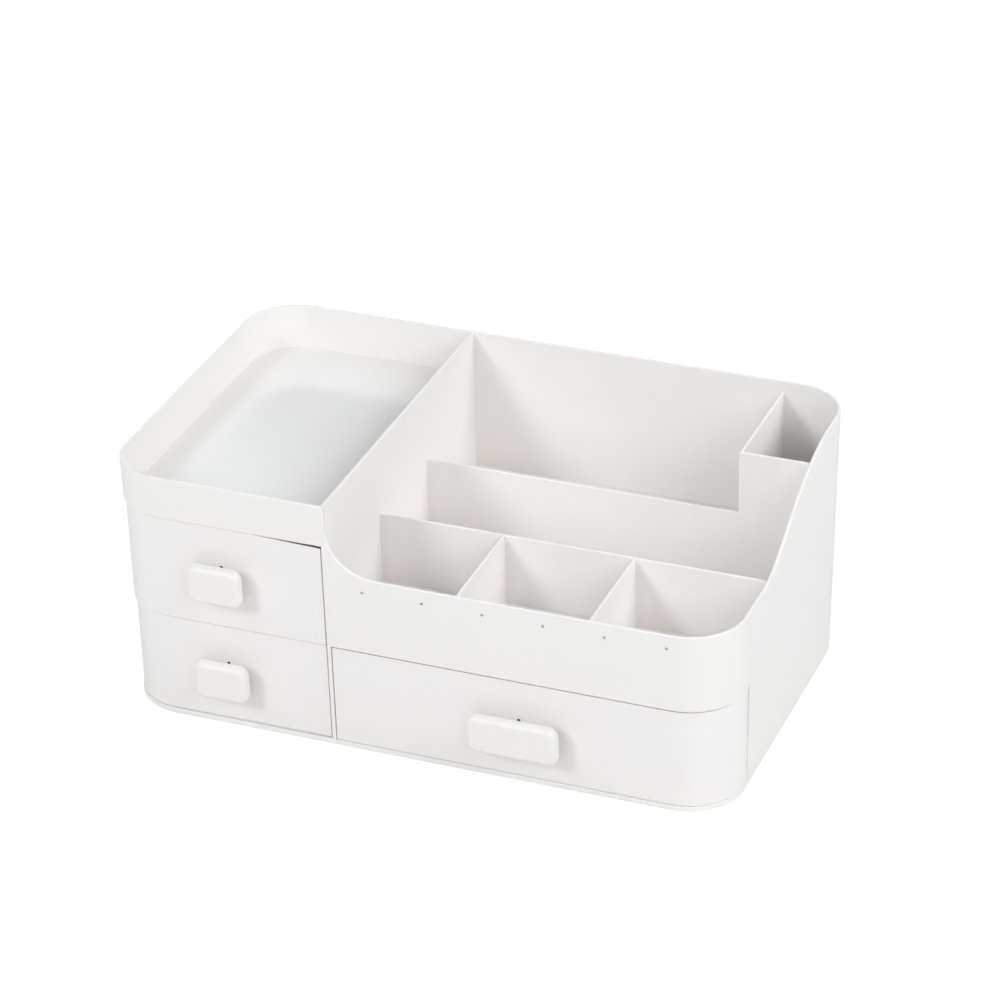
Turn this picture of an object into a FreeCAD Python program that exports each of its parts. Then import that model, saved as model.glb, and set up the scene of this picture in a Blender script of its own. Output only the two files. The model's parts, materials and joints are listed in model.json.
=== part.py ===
import FreeCAD, Part
import math
import os
from FreeCAD import Vector

# Makeup organizer: a leaning, round-cornered housing with a tray and an open bay on top,
# two drawers on the left and one wide drawer on the right.
# Millimetres, +Z up, front towards -Y, origin at the middle of the flat underside.

# Housing, outside
top_width = 360.0
top_depth = 222.0
height = 152.4
side_lean = 2.5
front_lean = 5.2
rear_lean = 2.2
corner_radius = 31.5
wall = 2.0
rim_fillet = 0.6

# Base plate
base_thickness = 3.1
tongue_width = 0.8
tongue_height = 1.2
groove_play = 0.15
lip_fillet = 0.4
foot_fillet = 0.4

# Partition between the left column and the right column
partition_x = -49.4
partition_thickness = 2.0

# Levels of the floors and of the lower edges of the housing's front
tray_floor_top = 125.6
tray_floor_thickness = 2.0
tray_wall_bottom = 127.3
shelf_top = 64.6
shelf_thickness = 2.0
apron_bottom = 64.4
bay_floor_thickness = 2.0
curb_width = 2.0
curb_height = 2.0
curb_setback = 3.3

# Rim of the open bay: low at the front, one round up to the partition, one sweep up the right side
bay_rim_z = 111.0
partition_round = 27.5
sweep_start = 62.0
sweep_slope_deg = 30.0
sweep_lower_radius = 50.0
sweep_upper_radius = 130.0

# Row of small holes under the front rim
hole_diameter = 1.8
hole_count = 6
hole_pitch = 34.6
hole_first_x = -27.9
hole_z = 102.8

# Dividers of the bay, measured back from the housing's front rim
divider_thickness = 1.8
front_divider_back = 76.4
front_divider_top = 108.4
mid_divider_back = 145.0
mid_divider_top = 107.3
left_cross_x = 24.9
right_cross_x = 100.8
cross_thickness = 1.6
divider_fillet = 0.5
pen_box_x = 138.3
pen_box_top = 145.2

# Drawers. The left fronts are a little skew: the upper one's top edge falls over a length before its
# right end, and the lower one's bottom edge rises all the way to its right end.
seam_back = 41.5
seam_gap = 0.3
front_gap = 0.4
foot_gap = 0.3
left_drawer_gap = 1.0
right_drawer_gap = 0.4
right_top_gap = 1.1
upper_top_fall = 1.4
upper_fall_length = 42.0
lower_bottom_rise = 0.5
running_gap = 0.3
front_panel = 2.0
panel_fillet = 0.3
top_edge_thickness = 0.8
top_edge_depth = 3.0
tub_wall = 1.6
tub_floor = 1.6
tub_fillet = 0.4
tub_floor_round = 2.5
tub_side_gap = 0.6
upper_front_inset = 0.7
lower_front_inset = 1.0
right_front_inset = 0.6
upper_front_bottom = 64.0
lower_front_top = 63.6
tub_headroom = 6.0
rear_space = 8.0

# Stop lugs under the ceilings and the tabs on the drawers that meet them
lug_width = 16.0
lug_length = 4.0
lug_back = 45.0
lug_clearance = 0.8
tab_width = 24.0
tab_clearance = 0.7

# Handles
handle_height = 23.0
left_handle_width = 31.3
right_handle_width = 51.7
left_handle_from_partition = 59.8
right_handle_from_partition = 108.2
upper_handle_lift = 0.65
lower_handle_lift = 0.3
right_handle_lift = -0.35
handle_standoff = 13.2
handle_thickness = 5.2
handle_corner = 5.6
handle_edge_round = 3.0
neck_height = 9.0
neck_side = 9.0
neck_corner = 2.5
peg_diameter = 3.0
peg_play = 0.1
peg_inset = 5.0
peg_head_diameter = 5.4
peg_head_thickness = 1.2
vent_diameter = 1.8
vent_lift = 6.1

front_y = -(top_depth + front_lean - rear_lean) / 2
partition_left = partition_x - partition_thickness / 2
partition_right = partition_x + partition_thickness / 2
seam_y = front_y + seam_back
front_tilt_deg = math.degrees(math.atan(front_lean / height))

# Cutting boxes reach out to far, and cutting tools run past the faces they cut by past.
far = top_width
past = 5.0

# Edges whose faces turn less than this run smoothly into each other and take no fillet.
smooth_angle_deg = 15.0
close = 1e-3


def box(x0, x1, y0, y1, z0, z1):
    return Part.makeBox(x1 - x0, y1 - y0, z1 - z0, Vector(x0, y0, z0))


def rounded_edges(x0, x1, y0, y1, radius, point):
    # Side, corner, side, corner and so on round a closed outline; point() places a plan position.
    half = radius * (1 - math.sqrt(0.5))
    corners = [
        ((x0 + radius, y0), (x1 - radius, y0), (x1 - half, y0 + half), (x1, y0 + radius)),
        ((x1, y0 + radius), (x1, y1 - radius), (x1 - half, y1 - half), (x1 - radius, y1)),
        ((x1 - radius, y1), (x0 + radius, y1), (x0 + half, y1 - half), (x0, y1 - radius)),
        ((x0, y1 - radius), (x0, y0 + radius), (x0 + half, y0 + half), (x0 + radius, y0)),
    ]
    edges = []
    for start, end, middle, after in corners:
        edges.append(Part.LineSegment(point(*start), point(*end)).toShape())
        edges.append(Part.Arc(point(*end), point(*middle), point(*after)).toShape())
    return edges


def rounded_wire(x0, x1, y0, y1, radius, point):
    return Part.Wire(rounded_edges(x0, x1, y0, y1, radius, point))


def front_at(z, inset=0.0):
    return front_y + front_lean * (height - z) / height + inset


def rear_at(z, inset=0.0):
    return front_y + top_depth - rear_lean * (height - z) / height - inset


def side_at(z, inset=0.0):
    return top_width / 2 - side_lean * (height - z) / height - inset


def outline(z, side, inset):
    return rounded_edges(-side, side, front_at(z, inset), rear_at(z, inset), corner_radius - inset,
                         lambda x, y: Vector(x, y, z))


def body_block(z0, z1, inset):
    # The leaning, round-cornered body between two levels, drawn in by inset all round.
    return block_between(outline(z0, side_at(z0, inset), inset), outline(z1, side_at(z1, inset), inset))


def upright_block(z0, z1, side, inset):
    # The same with upright sides, as the drawers have them; front and rear still lean.
    return block_between(outline(z0, side, inset), outline(z1, side, inset))


def block_between(low, high):
    faces = [Part.Face(Part.Wire(low)), Part.Face(Part.Wire(high))]
    for index, (below, above) in enumerate(zip(low, high)):
        start, end = below.Vertexes[0].Point, below.Vertexes[-1].Point
        high_start, high_end = above.Vertexes[0].Point, above.Vertexes[-1].Point
        is_corner = index % 2 == 1
        if is_corner:
            faces.append(below.extrude(high_start - start))
        else:
            faces.append(Part.Face(Part.makePolygon([start, end, high_end, high_start, start])))
    # The first solid turns all faces outwards, the second one keeps them so.
    solid = Part.makeSolid(Part.makeShell(faces))
    return Part.makeSolid(Part.makeShell(solid.Faces))


def depth_at(point, side, inset):
    # How far a point lies inside the skin of a block with this side and inset.
    radius = corner_radius - inset
    front = front_at(point.z, inset)
    rear = rear_at(point.z, inset)
    across = abs(point.x) - (side - radius)
    ahead = max(front + radius - point.y, point.y - (rear - radius))
    if across > 0 and ahead > 0:
        return radius - math.hypot(across, ahead)
    return min(side - abs(point.x), point.y - front, rear - point.y)


def middle_of(edge):
    return edge.valueAt((edge.FirstParameter + edge.LastParameter) / 2)


def is_sharp(shape, edge):
    normals = []
    for face in shape.ancestorsOfType(edge, Part.Face):
        normals.append(face.normalAt(*face.Surface.parameter(middle_of(edge))))
    return len(normals) == 2 and math.degrees(normals[0].getAngle(normals[1])) > smooth_angle_deg


def sharp_edges(shape, test):
    return [edge for edge in shape.Edges if test(edge) and is_sharp(shape, edge)]


def is_level_at(z):
    def test(edge):
        bounds = edge.BoundBox
        return abs(bounds.ZMin - z) < close and abs(bounds.ZMax - z) < close
    return test


def is_on_skin(side_of, inset):
    def test(edge):
        points = [vertex.Point for vertex in edge.Vertexes] + [middle_of(edge)]
        return all(abs(depth_at(point, side_of(point.z), inset)) < close for point in points)
    return test


def bay_front_opening():
    # Seen from the front: everything above the bay's rim, with the round up to the partition.
    centre_x = partition_right + partition_round
    centre_z = bay_rim_z + partition_round
    half = partition_round * math.sqrt(0.5)
    top = height + past
    y = front_y - past
    edges = [
        Part.LineSegment(Vector(partition_right, y, top), Vector(partition_right, y, centre_z)),
        Part.Arc(Vector(partition_right, y, centre_z), Vector(centre_x - half, y, centre_z - half),
                 Vector(centre_x, y, bay_rim_z)),
        Part.LineSegment(Vector(centre_x, y, bay_rim_z), Vector(far, y, bay_rim_z)),
        Part.LineSegment(Vector(far, y, bay_rim_z), Vector(far, y, top)),
        Part.LineSegment(Vector(far, y, top), Vector(partition_right, y, top)),
    ]
    face = Part.Face(Part.Wire([edge.toShape() for edge in edges]))
    return face.extrude(Vector(0, top_depth + 2 * past, 0))


def bay_side_opening():
    # Seen from the right: everything above the rim that sweeps from the front up to the rear.
    slope = math.radians(sweep_slope_deg)
    x = partition_right
    top = height + past
    start_y = front_y + sweep_start
    low_end_y = start_y + sweep_lower_radius * math.sin(slope)
    low_end_z = bay_rim_z + sweep_lower_radius * (1 - math.cos(slope))
    high_start_z = height - sweep_upper_radius * (1 - math.cos(slope))
    high_start_y = low_end_y + (high_start_z - low_end_z) / math.tan(slope)
    end_y = high_start_y + sweep_upper_radius * math.sin(slope)
    low_mid_y = start_y + sweep_lower_radius * math.sin(slope / 2)
    low_mid_z = bay_rim_z + sweep_lower_radius * (1 - math.cos(slope / 2))
    high_mid_y = end_y - sweep_upper_radius * math.sin(slope / 2)
    high_mid_z = height - sweep_upper_radius * (1 - math.cos(slope / 2))
    y0 = front_y - past
    edges = [
        Part.LineSegment(Vector(x, y0, bay_rim_z), Vector(x, start_y, bay_rim_z)),
        Part.Arc(Vector(x, start_y, bay_rim_z), Vector(x, low_mid_y, low_mid_z),
                 Vector(x, low_end_y, low_end_z)),
        Part.LineSegment(Vector(x, low_end_y, low_end_z), Vector(x, high_start_y, high_start_z)),
        Part.Arc(Vector(x, high_start_y, high_start_z), Vector(x, high_mid_y, high_mid_z),
                 Vector(x, end_y, height)),
        Part.LineSegment(Vector(x, end_y, height), Vector(x, end_y, top)),
        Part.LineSegment(Vector(x, end_y, top), Vector(x, y0, top)),
        Part.LineSegment(Vector(x, y0, top), Vector(x, y0, bay_rim_z)),
    ]
    face = Part.Face(Part.Wire([edge.toShape() for edge in edges]))
    return face.extrude(Vector(far, 0, 0))


def tongue(z1, play):
    # Ridge on the base plate that keys into a groove in the feet of the housing's walls.
    inset = (wall - tongue_width) / 2 - play
    ring = body_block(base_thickness, z1, inset).cut(
        body_block(base_thickness - past, z1 + past, inset + tongue_width + 2 * play))
    return ring.common(box(-far, far, seam_y + wall, far, 0, height))


def make_housing_shell():
    shell = body_block(base_thickness, height, 0)
    shell = shell.cut(body_block(base_thickness - past, height + past, wall))
    shell = shell.cut(box(-far, far, -far, seam_y, 0, apron_bottom))
    shell = shell.cut(box(-far, partition_left, -far, seam_y, 0, tray_wall_bottom))
    shell = shell.cut(bay_front_opening().common(bay_side_opening()))
    shell = shell.cut(tongue(base_thickness + tongue_height + groove_play, groove_play))
    for index in range(hole_count):
        x = hole_first_x + index * hole_pitch
        shell = shell.cut(Part.makeCylinder(hole_diameter / 2, 2 * past + front_lean,
                                            Vector(x, front_y - past, hole_z), Vector(0, 1, 0)))

    def is_rim(edge):
        runs_across_wall = edge.Length < 1.2 * wall
        return edge.BoundBox.ZMin > bay_rim_z - close and not runs_across_wall

    return shell.makeFillet(rim_fillet, sharp_edges(shell, is_rim))


def make_base_plate():
    plate = body_block(0, base_thickness, 0)
    plate = plate.makeFillet(lip_fillet, sharp_edges(plate, is_level_at(base_thickness)))
    plate = plate.makeFillet(foot_fillet, sharp_edges(plate, is_level_at(0)))
    return plate.fuse(tongue(base_thickness + tongue_height, 0))


def make_partition():
    plate = box(partition_left, partition_right, -far, far, base_thickness, height)
    # Its front edge shows between the lower drawers, and ends behind the housing's front above them.
    low = body_block(base_thickness, apron_bottom, 0).common(box(-far, far, -far, 0, 0, height))
    inside = body_block(base_thickness, height, wall)
    plate = plate.common(inside.fuse(low))
    return rounded_top(plate, height, rim_fillet)


def left_column_floor(z0, z1, front_side, front_inset):
    # A floor of the left column: full width behind the seam, set back behind a drawer front.
    left = -far
    rear = body_block(z0, z1, wall).common(box(left, partition_left, seam_y, far, z0, z1))
    front = upright_block(z0, z1, front_side, front_inset)
    front = front.common(box(left, partition_left, -far, seam_y, z0, z1))
    return rear.fuse(front).removeSplitter()


def make_tray_floor():
    # Its edge stays back from the upper drawer's front, and a raised curb carries it to the tray's wall.
    # Past the seam a short end closes the curb against the side wall.
    behind = front_panel + curb_setback
    side = upper_side - behind
    inset = upper_front_inset + behind
    z0 = tray_floor_top - tray_floor_thickness
    curb_top = tray_wall_bottom + curb_height
    floor = left_column_floor(z0, tray_floor_top, side, inset)
    curb_zone = box(-far, partition_left, -far, seam_y, z0, curb_top)
    inner = upright_block(z0 - past, curb_top + past, side - curb_width, inset + curb_width)
    foot = upright_block(tray_floor_top, curb_top, side, inset).cut(inner).common(curb_zone)
    top = body_block(tray_wall_bottom, curb_top, wall).cut(inner).common(curb_zone)
    end_zone = box(-far, partition_left, seam_y, seam_y + curb_width, tray_floor_top, curb_top)
    end = body_block(tray_floor_top, curb_top, wall).cut(inner).common(end_zone)
    return floor.fuse([foot, top, end]).removeSplitter()


def make_shelf():
    behind = front_panel + front_gap
    return left_column_floor(shelf_top - shelf_thickness, shelf_top, lower_side - behind,
                             lower_front_inset + behind)


def make_bay_floor():
    z1 = apron_bottom + bay_floor_thickness
    return body_block(apron_bottom, z1, wall).common(box(partition_right, far, -far, far, 0, z1))


def bay_wall(x0, x1, back0, back1, top):
    # An upright wall of the bay that stands on its floor and ends at the housing's inner faces.
    z0 = apron_bottom + bay_floor_thickness
    walls = body_block(z0, top, wall)
    return walls.common(box(x0, x1, front_y + back0, front_y + back1, z0, top))


def rounded_top(shape, top, radius):
    # Rounds both long edges of an upright wall's top.
    def is_long_top(edge):
        runs_across_wall = edge.Length < 2 * divider_thickness
        return is_level_at(top)(edge) and not runs_across_wall
    return shape.makeFillet(radius, sharp_edges(shape, is_long_top))


def make_dividers():
    parts = {}
    front_end = front_divider_back + divider_thickness
    mid_end = mid_divider_back + divider_thickness
    parts["front_divider"] = bay_wall(partition_right, far, front_divider_back, front_end, front_divider_top)
    parts["mid_divider"] = bay_wall(partition_right, pen_box_x - divider_thickness / 2,
                                    mid_divider_back, mid_end, mid_divider_top)
    for name, x in (("left_cross_divider", left_cross_x), ("right_cross_divider", right_cross_x)):
        parts[name] = bay_wall(x - cross_thickness / 2, x + cross_thickness / 2, 0, front_divider_back,
                               front_divider_top)
    side = bay_wall(pen_box_x - divider_thickness / 2, pen_box_x + divider_thickness / 2,
                    mid_divider_back, top_depth, pen_box_top)
    front = bay_wall(pen_box_x, far, mid_divider_back, mid_end, pen_box_top)
    parts["pen_box"] = side.fuse(front).removeSplitter()
    tops = {"mid_divider": mid_divider_top, "pen_box": pen_box_top}
    for name, shape in parts.items():
        parts[name] = rounded_top(shape, tops.get(name, front_divider_top), divider_fillet)
    return parts


class Drawer:
    def __init__(self, name, x_range, side, inset, front_range, top_fall, bottom_rise, room_range,
                 handle_x, handle_lift, handle_width):
        self.name = name
        self.x0, self.x1 = x_range
        self.side = side
        self.inset = inset
        self.front_z0, self.front_z1 = front_range
        self.top_fall = top_fall
        self.bottom_rise = bottom_rise
        self.floor_z, self.ceiling_z = room_range
        self.handle_x = handle_x
        self.handle_z = sum(front_range) / 2 + handle_lift
        self.handle_width = handle_width
        self.tub_z0 = self.floor_z + running_gap
        self.tub_top = self.ceiling_z - tub_headroom
        self.tub_side = side_at(self.floor_z, wall + tub_side_gap)
        self.tub_rear = rear_at(self.floor_z, wall + rear_space)
        self.middle_x = (max(self.x0, -side) + min(self.x1, side)) / 2

    def place(self, shape):
        # From the handle's own frame (origin on the front's face, -Y outward) to the tilted front.
        moved = shape.copy()
        moved.rotate(Vector(0, 0, 0), Vector(1, 0, 0), front_tilt_deg)
        moved.translate(Vector(self.handle_x, front_at(self.handle_z, self.inset), self.handle_z))
        return moved

    def peg_positions(self):
        reach = self.handle_width / 2 - neck_side - peg_inset + neck_corner
        return (-reach, reach)

    def bores(self):
        # Peg holes and the small vent hole, through the front panel and the tub's front wall.
        depth = front_panel + tub_wall + 2 * past
        cuts = []
        for x in self.peg_positions():
            cuts.append(Part.makeCylinder(peg_diameter / 2 + peg_play, depth,
                                          Vector(x, -past, 0), Vector(0, 1, 0)))
        cuts.append(Part.makeCylinder(vent_diameter / 2, depth, Vector(0, -past, vent_lift),
                                      Vector(0, 1, 0)))
        return [self.place(cut) for cut in cuts]

    def wedge(self, length, z_left, z_right, z_beyond):
        # Everything between a slanted line that ends at the front's right end and a level beyond it.
        x0 = self.x1 - length
        x1 = self.x1
        corners = [(x0, z_left), (x1, z_right), (x1, z_beyond), (x0, z_beyond), (x0, z_left)]
        face = Part.Face(Part.makePolygon([Vector(x, -far, z) for x, z in corners]))
        return face.extrude(Vector(0, 2 * far, 0))

    def front(self):
        z0 = self.front_z0
        z1 = self.front_z1
        inside = upright_block(z0 - past, z1 + past, self.side - front_panel, self.inset + front_panel)
        panel = upright_block(z0, z1, self.side, self.inset).cut(inside)
        panel = panel.common(box(self.x0, self.x1, -far, seam_y - seam_gap, z0, z1))
        if self.bottom_rise:
            panel = panel.cut(self.wedge(self.x1 + self.side, z0, z0 + self.bottom_rise, z0 - past))
        on_skin = is_on_skin(lambda z: self.side, self.inset)
        panel = panel.makeFillet(panel_fillet, sharp_edges(panel, on_skin))
        if self.top_fall:
            panel = panel.cut(self.wedge(upper_fall_length, z1, z1 - self.top_fall, z1 + past))
        # Along its top the panel is thinned from inside to a narrow edge.
        panel = panel.cut(upright_block(z1 - top_edge_depth, z1 + past, self.side - top_edge_thickness,
                                        self.inset + top_edge_thickness))
        for bore in self.bores():
            panel = panel.cut(bore)
        return panel

    def tub(self):
        z0 = self.tub_z0
        z1 = self.tub_top
        rear = self.tub_rear
        inset = self.inset + front_panel
        inner_x0 = self.x0 + tub_wall
        inner_x1 = self.x1 - tub_wall
        outer = upright_block(z0, z1, self.tub_side, inset)
        outer = outer.common(box(self.x0, self.x1, -far, rear, z0, z1))
        inner = upright_block(z0 + tub_floor, z1 + past, self.tub_side - tub_wall, inset + tub_wall)
        inner = inner.common(box(inner_x0, inner_x1, -far, rear - tub_wall, z0, z1 + past))
        tub = outer.cut(inner)
        tub = tub.makeFillet(tub_fillet, sharp_edges(tub, is_level_at(z1)))
        tub = tub.makeFillet(tub_floor_round, sharp_edges(tub, is_level_at(z0 + tub_floor)))
        tab = box(self.middle_x - tab_width / 2, self.middle_x + tab_width / 2, rear - tub_wall, rear,
                  z1 - tub_wall, self.ceiling_z - tab_clearance)
        tub = tub.fuse(tab).removeSplitter()
        for bore in self.bores():
            tub = tub.cut(bore)
        return tub

    def handle(self):
        half_w = self.handle_width / 2
        half_h = handle_height / 2
        face_y = -handle_standoff
        plate = Part.Face(rounded_wire(-half_w, half_w, -half_h, half_h, handle_corner,
                                       lambda x, z: Vector(x, face_y, z)))
        plate = plate.extrude(Vector(0, handle_thickness, 0))

        def on_face(edge):
            bounds = edge.BoundBox
            return abs(bounds.YMin - face_y) < close and abs(bounds.YMax - face_y) < close

        plate = plate.makeFillet(handle_edge_round, sharp_edges(plate, on_face))
        neck_w = half_w - neck_side
        neck = Part.Face(rounded_wire(-neck_w, neck_w, -neck_height / 2, neck_height / 2, neck_corner,
                                      lambda x, z: Vector(x, face_y + handle_thickness, z)))
        neck = neck.extrude(Vector(0, handle_standoff - handle_thickness, 0))
        through = front_panel + tub_wall
        solids = [neck]
        for x in self.peg_positions():
            solids.append(Part.makeCylinder(peg_diameter / 2, through + peg_head_thickness,
                                            Vector(x, 0, 0), Vector(0, 1, 0)))
            solids.append(Part.makeCylinder(peg_head_diameter / 2, peg_head_thickness,
                                            Vector(x, through, 0), Vector(0, 1, 0)))
        return self.place(plate.fuse(solids).removeSplitter())

    def lug(self):
        y0 = front_y + lug_back
        return box(self.middle_x - lug_width / 2, self.middle_x + lug_width / 2, y0, y0 + lug_length,
                   self.tub_top + lug_clearance, self.ceiling_z)

    def travel(self):
        return self.tub_rear - tub_wall - (front_y + lug_back + lug_length) - running_gap


left_range = (-far, partition_left - left_drawer_gap)
right_range = (partition_right + right_drawer_gap, far)
upper_front = (upper_front_bottom, tray_wall_bottom - front_gap)
lower_front = (base_thickness + foot_gap, lower_front_top)
right_front = (base_thickness + foot_gap, apron_bottom - right_top_gap)
upper_side = side_at(sum(upper_front) / 2, upper_front_inset)
lower_side = side_at(sum(lower_front) / 2, lower_front_inset)
right_side = side_at(sum(right_front) / 2, right_front_inset)
left_handle_x = left_range[1] - left_handle_from_partition
right_handle_x = right_range[0] + right_handle_from_partition
drawers = [
    Drawer("upper_left", left_range, upper_side, upper_front_inset, upper_front, upper_top_fall, 0,
           (shelf_top, tray_floor_top - tray_floor_thickness), left_handle_x, upper_handle_lift,
           left_handle_width),
    Drawer("lower_left", left_range, lower_side, lower_front_inset, lower_front, 0, lower_bottom_rise,
           (base_thickness, shelf_top - shelf_thickness), left_handle_x, lower_handle_lift,
           left_handle_width),
    Drawer("right", right_range, right_side, right_front_inset, right_front, 0, 0,
           (base_thickness, apron_bottom), right_handle_x, right_handle_lift, right_handle_width),
]


def make_parts():
    parts = {
        "housing_shell": make_housing_shell(),
        "base_plate": make_base_plate(),
        "partition_wall": make_partition(),
        "tray_floor": make_tray_floor(),
        "drawer_shelf": make_shelf(),
        "bay_floor": make_bay_floor(),
    }
    parts.update(make_dividers())
    parts["stop_lugs"] = Part.makeCompound([drawer.lug() for drawer in drawers])
    for drawer in drawers:
        parts[drawer.name + "_drawer_front"] = drawer.front()
        parts[drawer.name + "_drawer_tub"] = drawer.tub()
        parts[drawer.name + "_handle"] = drawer.handle()
    return parts


os.makedirs("parts", exist_ok=True)
for name, shape in make_parts().items():
    solids = len(shape.Solids)
    print(name, solids, "solids", round(shape.Volume), "mm3", "valid" if shape.isValid() else "INVALID")
    shape.exportStep(os.path.join("parts", name + ".step"))
for drawer in drawers:
    print(drawer.name, "travel", round(drawer.travel(), 2))
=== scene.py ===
import json
import math

import bpy
from mathutils import Matrix, Vector

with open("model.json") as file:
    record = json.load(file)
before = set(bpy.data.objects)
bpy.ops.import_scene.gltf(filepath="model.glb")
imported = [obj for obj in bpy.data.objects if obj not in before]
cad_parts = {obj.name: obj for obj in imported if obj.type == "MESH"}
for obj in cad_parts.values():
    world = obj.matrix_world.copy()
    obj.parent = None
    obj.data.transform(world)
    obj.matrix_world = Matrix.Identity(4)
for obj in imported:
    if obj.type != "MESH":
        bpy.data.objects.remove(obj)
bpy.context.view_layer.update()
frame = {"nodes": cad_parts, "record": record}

# Camera, in metres and degrees, in the part's own frame; sensor and focal length in millimetres.
CAMERA_PLACE = Vector((0.7299, -1.8033, 1.1882))
CAMERA_AZIMUTH = 21.789
CAMERA_ELEVATION = 29.076
CAMERA_ROLL = -1.163
SENSOR_WIDTH = 36.0
FOCAL_LENGTH = 143.82
CLIP_START = 0.05
CLIP_END = 50

# Small round holes, in metres: middles across and up on the front, and how far from the middle
# the shade painted on their inner surface reaches. The front's surfaces lie before HOLES_BEFORE_Y.
RIM_HOLE_COUNT = 6
RIM_HOLE_FIRST_X = -0.0279
RIM_HOLE_PITCH = 0.0346
RIM_HOLE_Z = 0.1028
RIM_HOLES = [(RIM_HOLE_FIRST_X + RIM_HOLE_PITCH * index, RIM_HOLE_Z) for index in range(RIM_HOLE_COUNT)]
VENT_HOLES = [(-0.1112, 0.10226), (-0.1112, 0.03996), (0.0602, 0.03916)]
HOLE_REACH = 0.00096
HOLES_BEFORE_Y = -0.1
# Painted shade: fixed colours for the inside of the rim holes and the drawer vents, standing in for the
# shade in them.
RIM_HOLE_PAINTED_SHADE = (0.68, 0.66, 0.64)
VENT_HOLE_PAINTED_SHADE = (0.14, 0.13, 0.12)

# Plastics by material slot: base colour, roughness, scale and height in metres of the surface's grain,
# and the holes through it with the colour of the shade painted inside them.
PLASTICS = {
    "housing": ((0.914, 0.889, 0.868), 0.42, 900.0, 0.00004, RIM_HOLES, RIM_HOLE_PAINTED_SHADE),
    "drawer": ((0.913, 0.886, 0.868), 0.42, 900.0, 0.00004, VENT_HOLES, VENT_HOLE_PAINTED_SHADE),
    "handle": ((0.906, 0.880, 0.858), 0.40, 700.0, 0.00003, (), None),
    "tray_floor": ((0.866, 0.854, 0.842), 0.14, 700.0, 0.00001, (), None),
}

# What all plastics share: the clouds that vary colour and gloss, and the strength of the grain's bump.
PLASTIC_IOR = 1.5
CLOUD_SCALE = 9.0
CLOUD_DETAIL = 3.0
DARK_TINT = 0.985
LIGHT_TINT = 1.01
GLOSS_BELOW = 0.03
GLOSS_ABOVE = 0.04
GRAIN_DETAIL = 2.0
GRAIN_STRENGTH = 0.25

# Floor and surroundings. To the camera the floor glows a little near the object, and grows to white
# between two distances from it, in metres.
FLOOR_REACH = 6.0
FLOOR_SHADE = 0.77
FLOOR_GLOW_NEAR = 0.50
FLOOR_GLOW_FAR = 1.0
GLOW_RISE_START = 0.8
GLOW_RISE_END = 2.5
FILL_COLOUR = (1.0, 0.995, 0.985)
FILL_STRENGTH = 0.03
WHITE = (1, 1, 1, 1)

# Studio lamps: azimuth from the front towards the right, elevation, size in metres, power in watts.
LAMP_DISTANCE = 3.0
LAMP_TARGET = Vector((0, 0, 0.07))
LAMP_COLOUR = (0.980, 1.0, 1.020)
LAMPS = {
    "key": (-25, 34, 0.65, 20.0),
    "front": (0, 17, 1.6, 15.7),
    "front_left": (-45, 45, 1.6, 11.8),
    "front_right": (42, 31, 1.6, 17.2),
    "right": (90, 40, 1.8, 49.0),
    "left": (-90, 20, 1.6, 17.5),
    "rear_right": (135, 45, 1.6, 8.0),
    "rear": (180, 45, 1.6, 11.0),
    "rear_left": (-135, 45, 1.6, 11.0),
    "rear_low": (180, 8, 1.6, 9.0),
}

scene = bpy.context.scene


class Nodes:
    """Small helper that adds shader nodes to a node tree and links them."""

    def __init__(self, tree):
        self.tree = tree

    def add(self, kind, **values):
        node = self.tree.nodes.new(kind)
        for name, value in values.items():
            setattr(node, name, value)
        return node

    def link(self, source, target):
        self.tree.links.new(source, target)

    def calculate(self, operation, first, second):
        # The result of a math operation on two sockets, or on a socket and a number.
        node = self.add("ShaderNodeMath", operation=operation)
        self.link(first, node.inputs[0])
        if isinstance(second, float):
            node.inputs[1].default_value = second
        else:
            self.link(second, node.inputs[1])
        return node.outputs["Value"]


def new_material(name):
    material = bpy.data.materials.new(name)
    material.use_nodes = True
    material.node_tree.nodes.clear()
    nodes = Nodes(material.node_tree)
    output = nodes.add("ShaderNodeOutputMaterial")
    return material, nodes, output


def in_any_hole(nodes, coords, holes):
    # 1 on surfaces nearer than HOLE_REACH to the axis of a hole through the front, else 0; shade is
    # painted where it is 1.
    split = nodes.add("ShaderNodeSeparateXYZ")
    nodes.link(coords.outputs["Object"], split.inputs["Vector"])
    flat = nodes.add("ShaderNodeCombineXYZ")
    nodes.link(split.outputs["X"], flat.inputs["X"])
    nodes.link(split.outputs["Z"], flat.inputs["Z"])
    nearest = None
    for x, z in holes:
        away = nodes.add("ShaderNodeVectorMath", operation="DISTANCE")
        nodes.link(flat.outputs["Vector"], away.inputs[0])
        away.inputs[1].default_value = (x, 0, z)
        distance = away.outputs["Value"]
        nearest = distance if nearest is None else nodes.calculate("MINIMUM", nearest, distance)
    is_near = nodes.calculate("LESS_THAN", nearest, HOLE_REACH)
    is_front = nodes.calculate("LESS_THAN", split.outputs["Y"], HOLES_BEFORE_Y)
    return nodes.calculate("MULTIPLY", is_near, is_front)


def cloudy_colour(nodes, cloud, colour):
    tint = nodes.add("ShaderNodeMix", data_type="RGBA")
    tint.inputs["A"].default_value = (*[channel * DARK_TINT for channel in colour], 1)
    tint.inputs["B"].default_value = (*[min(channel * LIGHT_TINT, 1.0) for channel in colour], 1)
    nodes.link(cloud.outputs["Fac"], tint.inputs["Factor"])
    return tint.outputs["Result"]


def paint_shade_in_holes(nodes, coords, surface_colour, holes, hole_painted_shade):
    # Painted shade: inside the holes the surface colour gives way to a fixed dark colour.
    shade = nodes.add("ShaderNodeMix", data_type="RGBA")
    nodes.link(in_any_hole(nodes, coords, holes), shade.inputs["Factor"])
    nodes.link(surface_colour, shade.inputs["A"])
    shade.inputs["B"].default_value = (*hole_painted_shade, 1)
    return shade.outputs["Result"]


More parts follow.
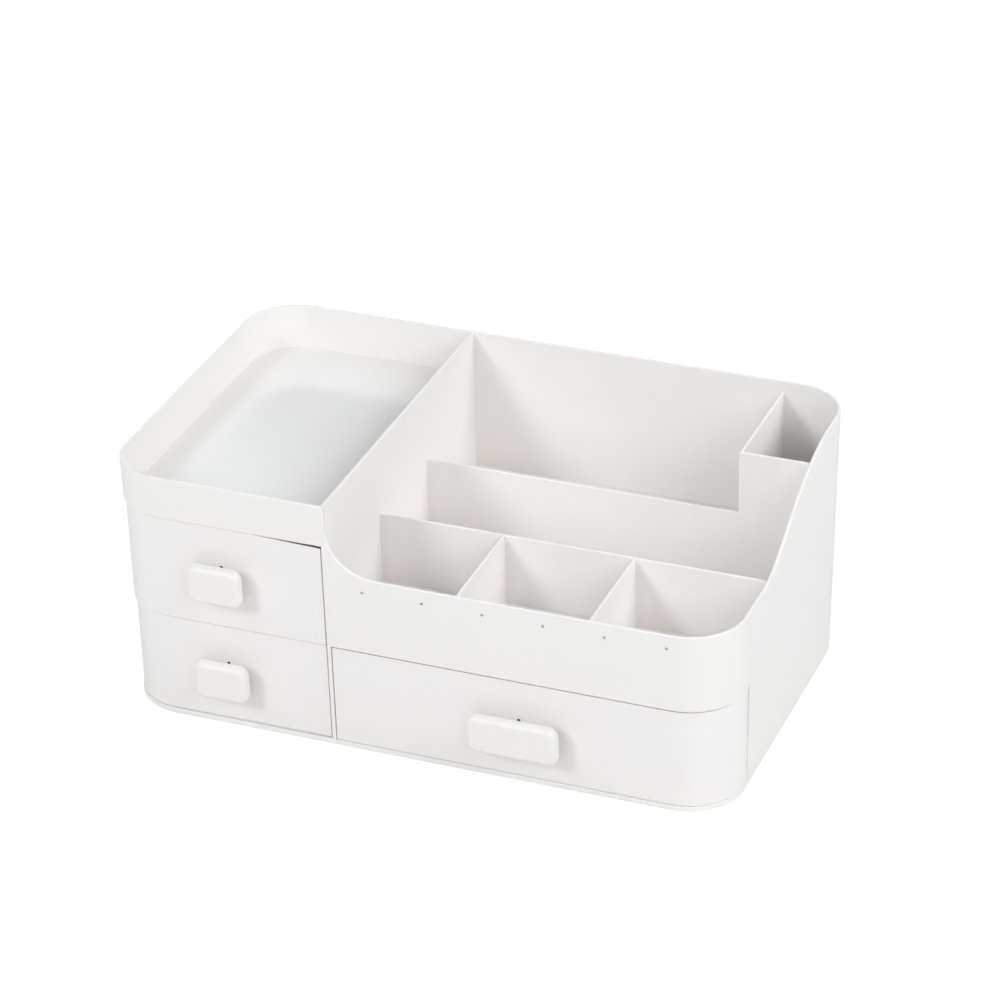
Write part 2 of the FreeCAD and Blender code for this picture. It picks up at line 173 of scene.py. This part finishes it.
def uneven_gloss(nodes, cloud, roughness):
    gloss = nodes.add("ShaderNodeMapRange")
    gloss.inputs["To Min"].default_value = roughness - GLOSS_BELOW
    gloss.inputs["To Max"].default_value = roughness + GLOSS_ABOVE
    nodes.link(cloud.outputs["Fac"], gloss.inputs["Value"])
    return gloss.outputs["Result"]


def grain_bump(nodes, coords, scale, height):
    grain = nodes.add("ShaderNodeTexNoise")
    grain.inputs["Scale"].default_value = scale
    grain.inputs["Detail"].default_value = GRAIN_DETAIL
    nodes.link(coords.outputs["Object"], grain.inputs["Vector"])
    bump = nodes.add("ShaderNodeBump")
    bump.inputs["Strength"].default_value = GRAIN_STRENGTH
    bump.inputs["Distance"].default_value = height
    nodes.link(grain.outputs["Fac"], bump.inputs["Height"])
    return bump.outputs["Normal"]


def plastic(name, colour, roughness, grain_scale, grain_height, holes, hole_painted_shade):
    # Moulded plastic: faint flow marks in colour, an orange-peel bump, a slightly uneven gloss and,
    # where it has holes, shade painted inside them.
    material, nodes, output = new_material(name)
    shader = nodes.add("ShaderNodeBsdfPrincipled")
    shader.inputs["IOR"].default_value = PLASTIC_IOR
    coords = nodes.add("ShaderNodeTexCoord")
    cloud = nodes.add("ShaderNodeTexNoise")
    cloud.inputs["Scale"].default_value = CLOUD_SCALE
    cloud.inputs["Detail"].default_value = CLOUD_DETAIL
    nodes.link(coords.outputs["Object"], cloud.inputs["Vector"])

    surface_colour = cloudy_colour(nodes, cloud, colour)
    if holes:
        surface_colour = paint_shade_in_holes(nodes, coords, surface_colour, holes, hole_painted_shade)
    nodes.link(surface_colour, shader.inputs["Base Color"])
    nodes.link(uneven_gloss(nodes, cloud, roughness), shader.inputs["Roughness"])
    nodes.link(grain_bump(nodes, coords, grain_scale, grain_height), shader.inputs["Normal"])
    nodes.link(shader.outputs["BSDF"], output.inputs["Surface"])
    return material


def dress_nodes():
    materials = {}
    for slot, values in PLASTICS.items():
        materials[slot] = plastic(slot + "_plastic", *values)
    slot_of = {entry["node"]: entry["material_slot"] for entry in frame["record"]["subparts"]}
    for name, node in frame["nodes"].items():
        node.data.materials.clear()
        node.data.materials.append(materials[slot_of[name]])


def floor_paper():
    # Matt paper with a glow that only the camera sees.
    material, nodes, output = new_material("floor_paper")
    paper = nodes.add("ShaderNodeBsdfDiffuse")
    paper.inputs["Color"].default_value = (FLOOR_SHADE, FLOOR_SHADE, FLOOR_SHADE, 1)
    coords = nodes.add("ShaderNodeTexCoord")
    away = nodes.add("ShaderNodeVectorMath", operation="LENGTH")
    nodes.link(coords.outputs["Object"], away.inputs[0])
    rise = nodes.add("ShaderNodeMapRange")
    rise.inputs["From Min"].default_value = GLOW_RISE_START
    rise.inputs["From Max"].default_value = GLOW_RISE_END
    rise.inputs["To Min"].default_value = FLOOR_GLOW_NEAR
    rise.inputs["To Max"].default_value = FLOOR_GLOW_FAR
    nodes.link(away.outputs["Value"], rise.inputs["Value"])
    path = nodes.add("ShaderNodeLightPath")
    strength = nodes.calculate("MULTIPLY", path.outputs["Is Camera Ray"], rise.outputs["Result"])
    glow = nodes.add("ShaderNodeEmission")
    glow.inputs["Color"].default_value = WHITE
    nodes.link(strength, glow.inputs["Strength"])
    both = nodes.add("ShaderNodeAddShader")
    nodes.link(paper.outputs["BSDF"], both.inputs[0])
    nodes.link(glow.outputs["Emission"], both.inputs[1])
    nodes.link(both.outputs["Shader"], output.inputs["Surface"])
    return material


def make_floor():
    # A large pale floor that shows white where the object's shadow doesn't reach.
    mesh = bpy.data.meshes.new("floor")
    reach = FLOOR_REACH
    corners = [(-reach, -reach, 0), (reach, -reach, 0), (reach, reach, 0), (-reach, reach, 0)]
    mesh.from_pydata(corners, [], [(0, 1, 2, 3)])
    floor = bpy.data.objects.new("floor", mesh)
    scene.collection.objects.link(floor)
    mesh.materials.append(floor_paper())


def make_world():
    # Faint light from all round, seen as plain white by the camera.
    world = bpy.data.worlds.new("studio")
    scene.world = world
    world.use_nodes = True
    world.node_tree.nodes.clear()
    nodes = Nodes(world.node_tree)
    output = nodes.add("ShaderNodeOutputWorld")
    soft = nodes.add("ShaderNodeBackground")
    soft.inputs["Color"].default_value = (*FILL_COLOUR, 1)
    soft.inputs["Strength"].default_value = FILL_STRENGTH
    white = nodes.add("ShaderNodeBackground")
    white.inputs["Color"].default_value = WHITE
    path = nodes.add("ShaderNodeLightPath")
    mix = nodes.add("ShaderNodeMixShader")
    nodes.link(path.outputs["Is Camera Ray"], mix.inputs["Fac"])
    nodes.link(soft.outputs["Background"], mix.inputs[1])
    nodes.link(white.outputs["Background"], mix.inputs[2])
    nodes.link(mix.outputs["Shader"], output.inputs["Surface"])


def make_lamp(name, azimuth, elevation, size, power):
    light = bpy.data.lights.new(name, "AREA")
    light.shape = "SQUARE"
    light.size = size
    light.energy = power
    light.color = LAMP_COLOUR
    lamp = bpy.data.objects.new(name, light)
    scene.collection.objects.link(lamp)
    turn = math.radians(azimuth)
    rise = math.radians(elevation)
    towards = Vector((math.cos(rise) * math.sin(turn), -math.cos(rise) * math.cos(turn), math.sin(rise)))
    lamp.location = LAMP_DISTANCE * towards
    aim = LAMP_TARGET - lamp.location
    lamp.rotation_euler = aim.to_track_quat("-Z", "Y").to_euler()


def make_camera():
    data = bpy.data.cameras.new("camera")
    data.sensor_width = SENSOR_WIDTH
    data.lens = FOCAL_LENGTH
    data.clip_start = CLIP_START
    data.clip_end = CLIP_END
    camera = bpy.data.objects.new("camera", data)
    scene.collection.objects.link(camera)
    turn = Matrix.Rotation(math.radians(CAMERA_AZIMUTH), 4, "Z")
    tip = Matrix.Rotation(math.radians(90 - CAMERA_ELEVATION), 4, "X")
    roll = Matrix.Rotation(math.radians(CAMERA_ROLL), 4, "Z")
    camera.matrix_world = Matrix.Translation(CAMERA_PLACE) @ turn @ tip @ roll
    scene.camera = camera


dress_nodes()
make_floor()
make_world()
for name, values in LAMPS.items():
    make_lamp(name, *values)
make_camera()
scene.view_settings.view_transform = "Standard"
